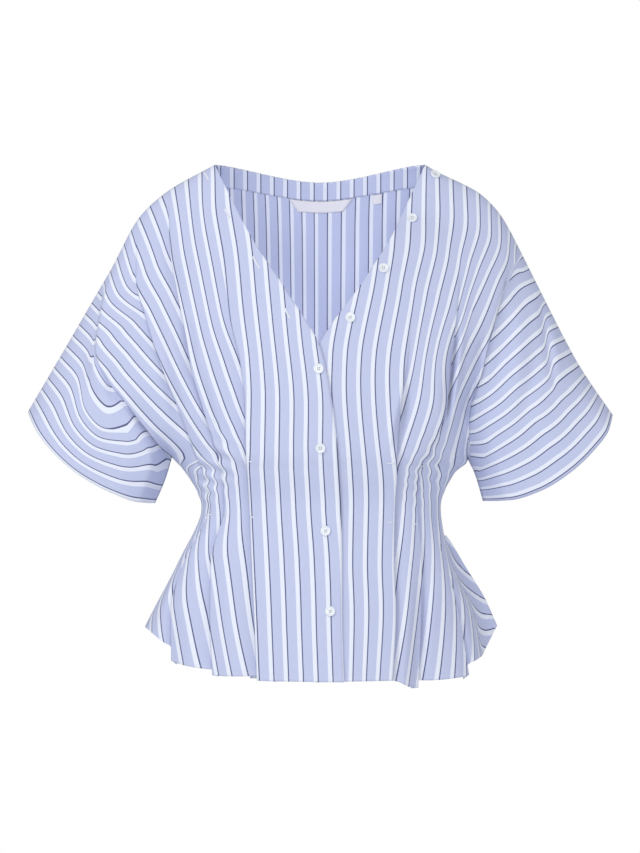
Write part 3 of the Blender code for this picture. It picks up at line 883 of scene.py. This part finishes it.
def all_quads(grid):
    return np.ones((grid.shape[0] - 1, grid.shape[1] - 1), bool)


facing_cloth = poplin("facing_poplin", 1)
facing_net = inside_of_back(np.linspace(0.0, FACING_EDGE, 12), POPLIN + FACING_LIFT)
facing_number = (facing_net[..., 0] - FACING_START) / FACING_PITCH
facing = cloth("neck_facing", facing_net, facing_number, all_quads(facing_net), POPLIN, facing_cloth)
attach(facing, "root")
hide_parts("back_neck_facing")

tape = Finish("label_satin", Roughness=0.45, Sheen_Weight=0.2)
tape_spot = tape.node("ShaderNodeUVMap", {"uv_map": "stripes"})
tape_rib = (tape.node("ShaderNodeSeparateXYZ", {}, (tape_spot,)).output("Y") * 260.0).math("SINE")
tape_tone = tape.noise(tape_spot, 14.0, 3.0)
tape_relief = {"Strength": 0.2, "Distance": 0.1 * MM, "Height": tape_rib}
tape.feed(Base_Color=tape.mix(tape_tone, dye(250, 248, 250), dye(226, 223, 228)),
          Normal=tape.node("ShaderNodeBump", {}, tape_relief))
for name, node, (at, spans), size, share in LABELS:
    tape_net = strip_between(at, spans, POPLIN + TAPE_LIFT, 15)
    marks = tape_net[..., 0] / STRIPE
    item = cloth(name, tape_net, marks, all_quads(tape_net), TAPE, tape.material)
    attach(item, "root")
    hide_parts(node)
    size[0] * size[1] * share

# The eight shirt buttons: pearly resin buttons with a raised rim and four holes.
# Four close the front and four run up the left neck edge. Each is sewn on with white thread, in two bars.
BUTTON_RADIUS = 5.5
BUTTON_HEIGHT = 2.2
BUTTON_RIM = 1.3
RIM_SLOPE = 0.7
BUTTON_SINK = 0.55     # the depth of its middle
BUTTON_ROUND = 0.45
BUTTON_LIFT = 0.3      # how far it stands off the cloth
HOLES = 4
HOLE_RADIUS = 0.62
HOLE_SPREAD = 1.38     # from the button's centre
HOLE_SIDES = 12
BUTTON_THREAD = 0.24
THREAD_PITCH = 0.4     # between the two threads of a bar
THREAD_END = 0.5       # how far a thread's end goes down its hole
THREAD_SIDES = 6
THREAD_TAPER = 0.55    # of its thickness, at its ends
RIM_TESTS = 12         # points of the rim that have to clear the cloth
RAY_START = 0.01       # metres, in front of the cloth
BUTTONS = [
    # front, x, z
    ("right", -1.6, -224.4),
    ("right", 0.4, -311.3),
    ("right", 5.9, -402.2),
    ("right", 11.0, -490.1),
    ("left", 33.0, -168.3),
    ("left", 69.3, -114.4),
    ("left", 101.2, -59.4),
    ("left", 126.5, -11.0),
]
fronts = {"right": front_right, "left": front_left}

pearl = Finish("button_pearl", Roughness=0.28, IOR=1.55, Coat_Weight=0.3, Coat_Roughness=0.15)
spot = pearl.node("ShaderNodeTexCoord").output("Object")
cloudy = pearl.noise(spot, 220.0, 3.0)
pearl.feed(Base_Color=pearl.mix(cloudy, dye(248, 250, 250), dye(226, 232, 238)))


def deselect():
    for item in bpy.context.selected_objects:
        item.select_set(False)


def turned_button():
    """A button turned with a raised rim, a sunk middle and four holes."""
    deselect()
    bpy.ops.mesh.primitive_cylinder_add(vertices=40, radius=BUTTON_RADIUS * MM, depth=BUTTON_HEIGHT * MM,
                                        location=(0, 0, BUTTON_HEIGHT * MM / 2))
    item = bpy.context.object
    bpy.ops.object.transform_apply(location=True)
    bpy.ops.object.mode_set(mode="EDIT")
    shape = bmesh.from_edit_mesh(item.data)
    for face in shape.faces:
        face.select_set(face.normal.z > 0.9)
    bmesh.update_edit_mesh(item.data)
    bpy.ops.mesh.inset(thickness=BUTTON_RIM * MM, depth=0)
    bpy.ops.mesh.inset(thickness=RIM_SLOPE * MM, depth=-BUTTON_SINK * MM)
    bpy.ops.object.mode_set(mode="OBJECT")
    bevel = item.modifiers.new("rounded", "BEVEL")
    bevel.width = BUTTON_ROUND * MM
    bevel.segments = 3
    bevel.limit_method = "ANGLE"
    bpy.ops.object.modifier_apply(modifier="rounded")
    for number in range(HOLES):
        angle = 2 * math.pi * (number + 0.5) / HOLES
        centre = Vector((math.cos(angle), math.sin(angle), 0)) * HOLE_SPREAD * MM
        deselect()
        bpy.ops.mesh.primitive_cylinder_add(vertices=HOLE_SIDES, radius=HOLE_RADIUS * MM,
                                            depth=4 * BUTTON_HEIGHT * MM, location=centre)
        drill = bpy.context.object
        deselect()
        item.select_set(True)
        bpy.context.view_layer.objects.active = item
        bore = item.modifiers.new("hole", "BOOLEAN")
        bore.operation = "DIFFERENCE"
        bore.object = drill
        bore.solver = "EXACT"
        bpy.ops.object.modifier_apply(modifier="hole")
        bpy.data.objects.remove(drill, do_unlink=True)
    item.data.materials.clear()
    item.data.materials.append(pearl.material)
    bpy.ops.object.shade_smooth_by_angle(angle=math.radians(35))
    return item


thread_white = Finish("sewing_thread", Roughness=0.6)
spot = thread_white.node("ShaderNodeTexCoord").output("Object")
twist = thread_white.noise(spot, 2400.0, 1.0)
thread_white.feed(Base_Color=thread_white.mix(twist, dye(250, 251, 253), dye(222, 226, 236)))


def thread_mesh(name, runs, radius, finish):
    """Short threads as one mesh. Each run is a list of points in millimetres."""
    sides = THREAD_SIDES
    points, faces = [], []
    for run in runs:
        run = [Vector(point) for point in run]
        start = len(points)
        for k, point in enumerate(run):
            ahead = (run[min(k + 1, len(run) - 1)] - run[max(k - 1, 0)]).normalized()
            over = ahead.orthogonal().normalized()
            up = ahead.cross(over)
            size = radius * (THREAD_TAPER if k in (0, len(run) - 1) else 1.0)
            for side in range(sides):
                angle = 2 * math.pi * side / sides
                points.append((point + (over * math.cos(angle) + up * math.sin(angle)) * size) * MM)
        for k in range(len(run) - 1):
            for side in range(sides):
                a = start + k * sides + side
                b = start + k * sides + (side + 1) % sides
                faces.append((a, b, b + sides, a + sides))
        faces.append(tuple(start + side for side in reversed(range(sides))))
        faces.append(tuple(start + (len(run) - 1) * sides + side for side in range(sides)))
    mesh = bpy.data.meshes.new(name)
    mesh.from_pydata([tuple(point) for point in points], [], faces)
    mesh.update()
    mesh.materials.append(finish)
    mesh.polygons.foreach_set("use_smooth", [True] * len(faces))
    return linked(name, mesh)


pattern_button = turned_button()
depsgraph = bpy.context.evaluated_depsgraph_get()
grounds = {name: BVHTree.FromObject(item, depsgraph) for name, item in fronts.items()}


def seat_on(ground, x, z):
    """The point of a panel's outside that shows at x, z, and the way that it faces."""
    seat, facing, _, _ = ground.ray_cast(Vector((x * MM, -1, z * MM)), Vector((0, 1, 0)))
    return seat, facing


button_threads = []
for number, (side, x, z) in enumerate(BUTTONS, start=1):
    seat, facing = seat_on(grounds[side], x, z)
    lift = 0.0
    turn = facing.to_track_quat("Z", "Y")
    for angle in np.linspace(0, 2 * math.pi, RIM_TESTS, endpoint=False):
        out = turn @ Vector((math.cos(angle), math.sin(angle), 0)) * BUTTON_RADIUS * MM
        hit = grounds[side].ray_cast(seat + out + facing * RAY_START, -facing)[0]
        if hit is not None:
            lift = max(lift, (hit - seat).dot(facing))
    place = Matrix.Translation(seat + facing * (lift + BUTTON_LIFT * MM)) @ turn.to_matrix().to_4x4()
    item = linked(f"shirt_button_{number}", pattern_button.data.copy())
    item.data.transform(place)
    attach(item, "root")
    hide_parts(f"button_{number}")
    reach = HOLE_SPREAD * math.sqrt(0.5)
    for way in (-reach, reach):
        run = []
        for share in np.linspace(-1, 1, 7):
            dip = BUTTON_SINK * share ** 4 + (THREAD_END if abs(share) == 1 else 0)
            run.append(place @ (Vector((reach * share, way, BUTTON_HEIGHT - dip)) * MM) / MM)
        for offset in (-THREAD_PITCH / 2, THREAD_PITCH / 2):
            shift = turn @ Vector((0, offset, 0))
            button_threads.append([point + shift for point in run])
bpy.data.objects.remove(pattern_button, do_unlink=True)
threads = thread_mesh("button_threads", button_threads, BUTTON_THREAD, thread_white.material)
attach(threads, "root")

# The sewing: topstitched hems, cuffs and facing, buttonholes on the right front, and bar tacks at the waist.
# All in white polyester thread. The buttonholes lie along the neck edge and the tacks hold the pleats closed.
STITCH = 2.4
STITCH_GAP = 1.0
STITCH_START = 1.0
STITCH_RISE = 0.09     # how far a stitch's middle stands off the cloth
THREAD = 0.16
BAR_THREAD = 0.26
FACING_STITCH = 1.8    # up from the facing's edge
BAR_PITCH = 0.42       # between the bars of a buttonhole
BAR_HALF = 1.15        # half the length of its bars, and of the ones at its ends
BAR_END_HALF = 1.5
BAR_END = 0.9
BAR_LIFTS = (0.02, 0.22, 0.22, 0.02)
TACK_LIFT = 0.25
TACK_ROWS = (-0.35, 0.0, 0.35)
BUTTONHOLES = [
    # x, z to x, z
    (-127, -8.5, -122.5, -16.5),
    (-104.5, -49, -99, -59.5),
    (-73.5, -101.5, -66.5, -114.5),
    (-38.5, -158.5, -33, -169),
]
BAR_TACKS = [
    # front, x, z, half length
    ("right", -76.0, -326.0, 2.2), ("right", -73.7, -387.0, 2.4), ("right", -123.0, -384.5, 4.5),
    ("right", -104.0, -385.0, 3.0), ("left", 78.0, -328.0, 5.0), ("left", 112.5, -331.0, 3.6),
    ("left", 77.0, -392.7, 2.4), ("left", 105.0, -394.5, 2.0),
]


def outside(grid, front):
    """The points of the cloth's outside."""
    normals = normals_of(grid)
    out = normals * (-np.sign(normals[..., 1].mean()) if front else np.sign(normals[..., 1].mean()))
    return grid + out * POPLIN / 2, out


def stitch_runs(points, outs):
    """Even lockstitches along a line on the cloth."""
    way = np.concatenate([[0], np.cumsum(np.linalg.norm(np.diff(points, axis=0), axis=1))])
    runs = []
    for start in np.arange(STITCH_START, way[-1] - STITCH, STITCH + STITCH_GAP):
        run = []
        for share, lift in ((0.0, 0.0), (0.5, STITCH_RISE), (1.0, 0.0)):
            spot = start + share * STITCH
            point = [np.interp(spot, way, points[:, axis]) for axis in range(3)]
            out = [np.interp(spot, way, outs[:, axis]) for axis in range(3)]
            run.append(np.array(point) + np.array(out) * lift)
        runs.append(run)
    return runs


edge_column = edge_of(fine_spots)
sleeve_last = int(np.searchsorted(fine_rows, SLEEVE_END))
seam_runs = []
for grid in (right_net, left_net):
    points, outs = outside(grid, True)
    seam_runs += stitch_runs(points[-3, :edge_column + 1], outs[-3, :edge_column + 1])
    seam_runs += stitch_runs(points[:sleeve_last + 1, -3], outs[:sleeve_last + 1, -3])
back_edge = edge_of(back_spots)
back_points, back_outs = outside(back_net, False)
hem_span = slice(back_centre - back_edge, back_centre + back_edge + 1)
seam_runs += stitch_runs(back_points[-3, hem_span], back_outs[-3, hem_span])
back_last = int(np.searchsorted(back_rows, SLEEVE_END))
for column in (2, back_net.shape[1] - 3):
    seam_runs += stitch_runs(back_points[:back_last + 1, column], back_outs[:back_last + 1, column])
facing_points = facing_net[-1] + np.array((0, -POPLIN / 2, FACING_STITCH))
seam_runs += stitch_runs(facing_points, np.tile((0.0, -1.0, 0.0), (len(facing_points), 1)))
seam_threads = thread_mesh("topstitching", seam_runs, THREAD, thread_white.material)
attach(seam_threads, "root")


def laid_on(side, x, z, lift):
    """A thread's point, this far off the outside of a front at x, z."""
    seat, facing = seat_on(grounds[side], x, z)
    return (seat + facing * lift * MM) / MM


bars = []
for x0, z0, x1, z1 in BUTTONHOLES:
    along = Vector((x1 - x0, z1 - z0)).normalized()
    across = Vector((-along.y, along.x))
    length = math.hypot(x1 - x0, z1 - z0)
    for spot in np.arange(0.0, length, BAR_PITCH):
        half = BAR_END_HALF if spot < BAR_END or spot > length - BAR_END else BAR_HALF
        centre = Vector((x0, z0)) + along * spot
        ends = [centre + across * half * reach for reach in (-1.0, -0.4, 0.4, 1.0)]
        bars.append([laid_on("right", point.x, point.y, lift) for point, lift in zip(ends, BAR_LIFTS)])
for side, x, z, half in BAR_TACKS:
    for row in TACK_ROWS:
        places = np.linspace(x - half, x + half, 5)
        bars.append([laid_on(side, place, z + row, TACK_LIFT) for place in places])
bar_threads = thread_mesh("buttonholes_and_tacks", bars, BAR_THREAD, thread_white.material)
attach(bar_threads, "root")

# The white set: a pale floor well below the blouse, soft light from all round and from the front,
# and a small light inside it. The camera is level and far off.
FLOOR_Z = -0.9
FLOOR_WIDE = 5.0
AMBIENT = 0.62         # of the white all round; the camera sees it full
AMBIENT_TINT = (0.92, 0.94, 1.0, 1.0)
BACKDROP = (1.0, 1.0, 1.0, 1.0)
floor_finish = Finish("pale_floor", Roughness=0.9)
floor_finish.shader.inputs["Base Color"].default_value = dye(244, 245, 247)
deselect()
bpy.ops.mesh.primitive_plane_add(size=FLOOR_WIDE, location=(0, 0, FLOOR_Z))
floor = bpy.context.object
floor.name = "pale_floor"
floor.data.materials.append(floor_finish.material)

world = bpy.data.worlds.new("studio")
world.use_nodes = True
sky = world.node_tree
ambient = sky.nodes["Background"]
ambient.inputs["Color"].default_value = AMBIENT_TINT
ambient.inputs["Strength"].default_value = AMBIENT
backdrop = sky.nodes.new("ShaderNodeBackground")
backdrop.inputs["Color"].default_value = BACKDROP
rays = sky.nodes.new("ShaderNodeLightPath")
either = sky.nodes.new("ShaderNodeMixShader")
sky.links.new(rays.outputs["Is Camera Ray"], either.inputs[0])
sky.links.new(ambient.outputs[0], either.inputs[1])
sky.links.new(backdrop.outputs[0], either.inputs[2])
sky.links.new(either.outputs[0], sky.nodes["World Output"].inputs["Surface"])
bpy.context.scene.world = world


def soft_light(name, place, size, watts, aim=(0, 0, -0.3)):
    """A square soft light at a place, turned to its aim."""
    light = bpy.data.lights.new(name, "AREA")
    light.shape = "SQUARE"
    light.size = size
    light.energy = watts
    item = linked(name, light)
    item.location = place
    item.rotation_mode = "QUATERNION"
    item.rotation_quaternion = (Vector(aim) - Vector(place)).to_track_quat("-Z", "Y")


soft_light("key", (-1.6, -2.2, 1.2), 1.2, 22.0)
soft_light("front", (0.3, -3.4, 0.3), 0.9, 22.0)
soft_light("inside", (0, -0.03, -0.34), 0.08, 0.19, aim=(0, 0.07, -0.1))

PIXEL = 1.1            # millimetres of the blouse to one pixel of the frame
FRAME_WIDE = 640
FRAME_HIGH = 853
NECK_ROW = 165         # the pixel row of the neck points, at z = 0
CENTRE_Z = (NECK_ROW - FRAME_HIGH / 2) * PIXEL * MM
CAMERA_FAR = 20.0
SENSOR = 36.0
camera_data = bpy.data.cameras.new("camera")
camera_data.sensor_fit = "HORIZONTAL"
camera_data.sensor_width = SENSOR
camera_data.lens = SENSOR * CAMERA_FAR / (FRAME_WIDE * PIXEL * MM)
camera = linked("camera", camera_data)
camera.location = (0, -CAMERA_FAR, CENTRE_Z)
camera.rotation_euler = (math.pi / 2, 0, 0)
bpy.context.scene.camera = camera
bpy.context.scene.view_settings.view_transform = "Standard"
